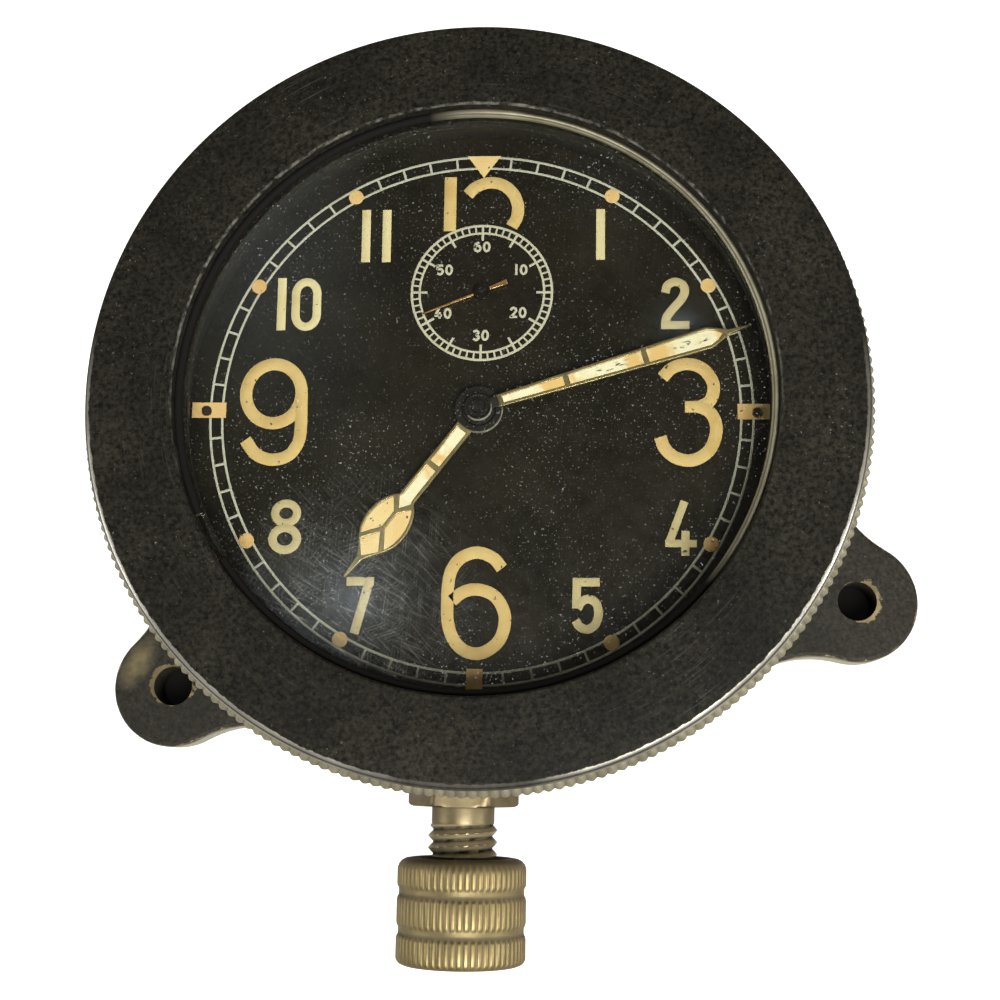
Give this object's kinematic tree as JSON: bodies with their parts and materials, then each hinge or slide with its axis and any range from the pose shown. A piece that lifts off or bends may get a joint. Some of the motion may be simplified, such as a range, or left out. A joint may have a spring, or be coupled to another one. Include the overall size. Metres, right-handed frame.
{
  "type": "aircraft clock",
  "caption": "Round aircraft instrument clock with a black dial, small seconds ring, open luminous hands, knurled bezel, lugged case and a winding knob below.",
  "frame": {"origin": "on the dial axis at the mounting plane, the case's flat back", "axes": "+Z out of the dial towards the viewer, +Y towards 12 o'clock, +X towards 3 o'clock"},
  "size_m": [0.0943, 0.1115, 0.0332],
  "materials": {
    "black_paint": "satin",
    "glass": "polished",
    "ring_brass": "satin",
    "dial_black": "gloss",
    "dark_screw": "satin",
    "hand_brass": "aged",
    "lume_cream": "matte",
    "gilt": "polished",
    "knob_brass": "aged",
    "plate_brass": "satin",
    "wheel_brass": "satin",
    "steel": "satin",
    "screw_steel": "polished",
    "spring_steel": "polished",
    "jewel": "polished"
  },
  "bodies": {
    "case": {"case": "black_paint", "bezel": "black_paint", "glass": "glass", "glass_ring": "ring_brass", "dial": "dial_black", "dial_screws": "dark_screw", "movement_ring": "plate_brass", "ring_screws": "screw_steel", "movement_screws": "screw_steel", "front_plate": "plate_brass", "back_plate": "plate_brass", "pillars": "plate_brass", "pillar_screws": "screw_steel", "stem_tube": "knob_brass", "stem_bridge": "plate_brass", "bridge_screws": "screw_steel", "detent_spring": "spring_steel", "balance_cock": "plate_brass", "cock_screw": "screw_steel", "cock_jewel": "jewel", "hairspring_stud": "screw_steel", "crown_wheel_screw": "screw_steel", "click_screw": "screw_steel", "click_spring": "spring_steel"},
    "minute": {"minute_hand": "hand_brass", "minute_lume": "lume_cream", "cannon_pinion": "steel"},
    "hour": {"hour_hand": "hand_brass", "hour_lume": "lume_cream", "hour_wheel": "wheel_brass"},
    "minute_wheel": {"minute_wheel": "wheel_brass"},
    "setting": {"setting_arbor": "steel"},
    "centre": {"centre_wheel": "wheel_brass"},
    "third": {"third_wheel": "wheel_brass"},
    "fourth": {"fourth_wheel": "wheel_brass", "seconds_hand": "gilt"},
    "escape": {"escape_wheel": "gilt"},
    "barrel": {"barrel": "wheel_brass", "barrel_cover": "wheel_brass", "mainspring": "spring_steel"},
    "winding": {"winding_pinion": "steel"},
    "crown": {"crown_wheel": "steel"},
    "ratchet": {"ratchet_wheel": "steel", "barrel_arbor": "steel"},
    "stem": {"stem": "steel"},
    "knob": {"knob": "knob_brass"},
    "click": {"click": "steel"},
    "pallet": {"pallet_fork": "steel", "pallet_jewels": "jewel"},
    "balance": {"balance_wheel": "gilt", "balance_staff": "steel", "roller": "steel", "hairspring": "spring_steel"}
  },
  "joints": [
    {"name": "minute_hand_turn", "type": "hinge", "parent": "case", "child": "minute", "pos_m": [0, 0, 0.015], "axis": [0, 0, -1], "continuous": true},
    {"name": "hour_hand_turn", "type": "hinge", "parent": "case", "child": "hour", "pos_m": [0, 0, 0.015], "axis": [0, 0, -1], "continuous": true},
    {"name": "minute_wheel_turn", "type": "hinge", "parent": "case", "child": "minute_wheel", "pos_m": [-0.0001, -0.006, 0.015], "axis": [0, 0, -1], "continuous": true},
    {"name": "setting_arbor_turn", "type": "hinge", "parent": "case", "child": "setting", "pos_m": [-0.0016, -0.01155, 0.015], "axis": [0, 0, -1], "continuous": true},
    {"name": "centre_wheel_turn", "type": "hinge", "parent": "case", "child": "centre", "pos_m": [0, 0, 0.015], "axis": [0, 0, -1], "continuous": true},
    {"name": "third_wheel_turn", "type": "hinge", "parent": "case", "child": "third", "pos_m": [0.0047, 0.00768, 0.015], "axis": [0, 0, -1], "continuous": true},
    {"name": "seconds_hand_turn", "type": "hinge", "parent": "case", "child": "fourth", "pos_m": [0, 0.0135, 0.015], "axis": [0, 0, -1], "continuous": true},
    {"name": "escape_wheel_turn", "type": "hinge", "parent": "case", "child": "escape", "pos_m": [0.00651, 0.01587, 0.015], "axis": [0, 0, -1], "continuous": true},
    {"name": "barrel_turn", "type": "hinge", "parent": "case", "child": "barrel", "pos_m": [-0.01173, -0.00427, 0.015], "axis": [0, 0, -1], "continuous": true},
    {"name": "stem_turn", "type": "hinge", "parent": "case", "child": "winding", "pos_m": [-0.0016, -0.01951, 0.0134], "axis": [0, 1, 0], "continuous": true},
    {"name": "crown_wheel_turn", "type": "hinge", "parent": "case", "child": "crown", "pos_m": [-0.0016, -0.01451, 0.015], "axis": [0, 0, 1], "continuous": true},
    {"name": "ratchet_wheel_turn", "type": "hinge", "parent": "case", "child": "ratchet", "pos_m": [-0.01173, -0.00427, 0.015], "axis": [0, 0, 1], "continuous": true, "deforming": ["mainspring"]},
    {"name": "stem_pull", "type": "slide", "parent": "winding", "child": "stem", "axis": [0, -1, 0], "range_m": [0, 0.0018], "deforming": ["detent_spring"]},
    {"name": "knob_screw", "type": "slide", "parent": "stem", "child": "knob", "axis": [0, 1, 0], "range_m": [0, 0.0033]},
    {"name": "click_lift", "type": "hinge", "parent": "case", "child": "click", "pos_m": [-0.019, 0.0044, 0.0096], "axis": [0, 0, 1], "range_deg": [0, 8], "stiffness_Nm_per_rad": 0.00002, "deforming": ["click_spring"]},
    {"name": "pallet_rock", "type": "hinge", "parent": "case", "child": "pallet", "pos_m": [0.0104, 0.0126, 0.0098], "axis": [0, 0, 1], "range_deg": [-5, 5]},
    {"name": "balance_swing", "type": "hinge", "parent": "case", "child": "balance", "pos_m": [0.015, 0.00875, 0.0048], "axis": [0, 0, 1], "range_deg": [-270, 270], "stiffness_Nm_per_rad": 0.000006, "deforming": ["hairspring"]}
  ],
  "couplings": [
    {"joint": "hour_hand_turn", "follows": "minute_hand_turn", "ratio": 0.083333},
    {"joint": "minute_wheel_turn", "follows": "minute_hand_turn", "ratio": -0.33333},
    {"joint": "setting_arbor_turn", "follows": "minute_hand_turn", "ratio": 1.2},
    {"joint": "centre_wheel_turn", "follows": "minute_hand_turn", "ratio": 1},
    {"joint": "third_wheel_turn", "follows": "minute_hand_turn", "ratio": -8},
    {"joint": "seconds_hand_turn", "follows": "minute_hand_turn", "ratio": 60},
    {"joint": "escape_wheel_turn", "follows": "minute_hand_turn", "ratio": -600},
    {"joint": "barrel_turn", "follows": "minute_hand_turn", "ratio": -0.14286},
    {"joint": "crown_wheel_turn", "follows": "stem_turn", "ratio": -0.5},
    {"joint": "ratchet_wheel_turn", "follows": "stem_turn", "ratio": 0.35714}
  ]
}
